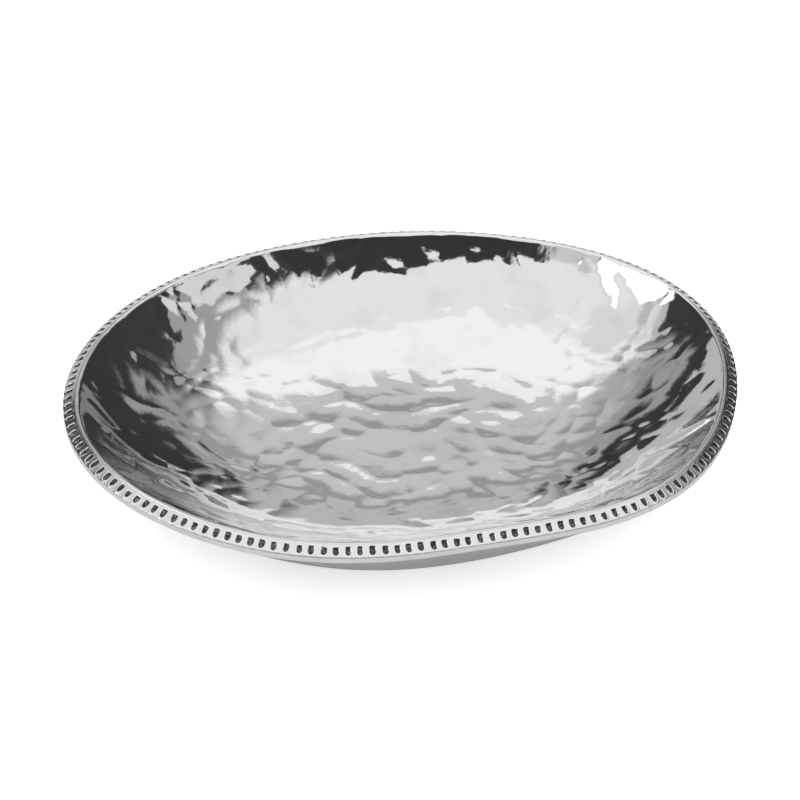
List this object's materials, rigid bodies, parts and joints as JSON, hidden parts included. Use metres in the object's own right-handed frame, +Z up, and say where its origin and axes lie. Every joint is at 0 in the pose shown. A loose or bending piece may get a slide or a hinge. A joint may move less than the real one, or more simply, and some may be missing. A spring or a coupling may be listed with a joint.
{
  "type": "hammered oval tray",
  "caption": "Shallow oval metal dish with a hammered mirror inside, a smooth outside and a wide sloping rim punched all round with short notches.",
  "frame": {"origin": "middle of the footprint, on the plane the dish stands on", "axes": "+X along the long way of the oval, +Z up"},
  "size_m": [0.3899, 0.3059, 0.054],
  "materials": {
    "basin_metal": "mirror polished, hammered in soft round facets",
    "shell_metal": "smooth, bright polished",
    "border_metal": "polished, with dark punched notches",
    "hoop_metal": "smooth, bright polished",
    "wire_metal": "drawn wire, unpolished, inside the rim",
    "plug_metal": "filed flush, satin"
  },
  "bodies": {
    "root": {"hammered_basin": "basin_metal", "outer_shell": "shell_metal", "notched_border": "border_metal", "rim_hoop": "hoop_metal", "rim_wire": "wire_metal", "vent_plug": "plug_metal"}
  },
  "joints": []
}
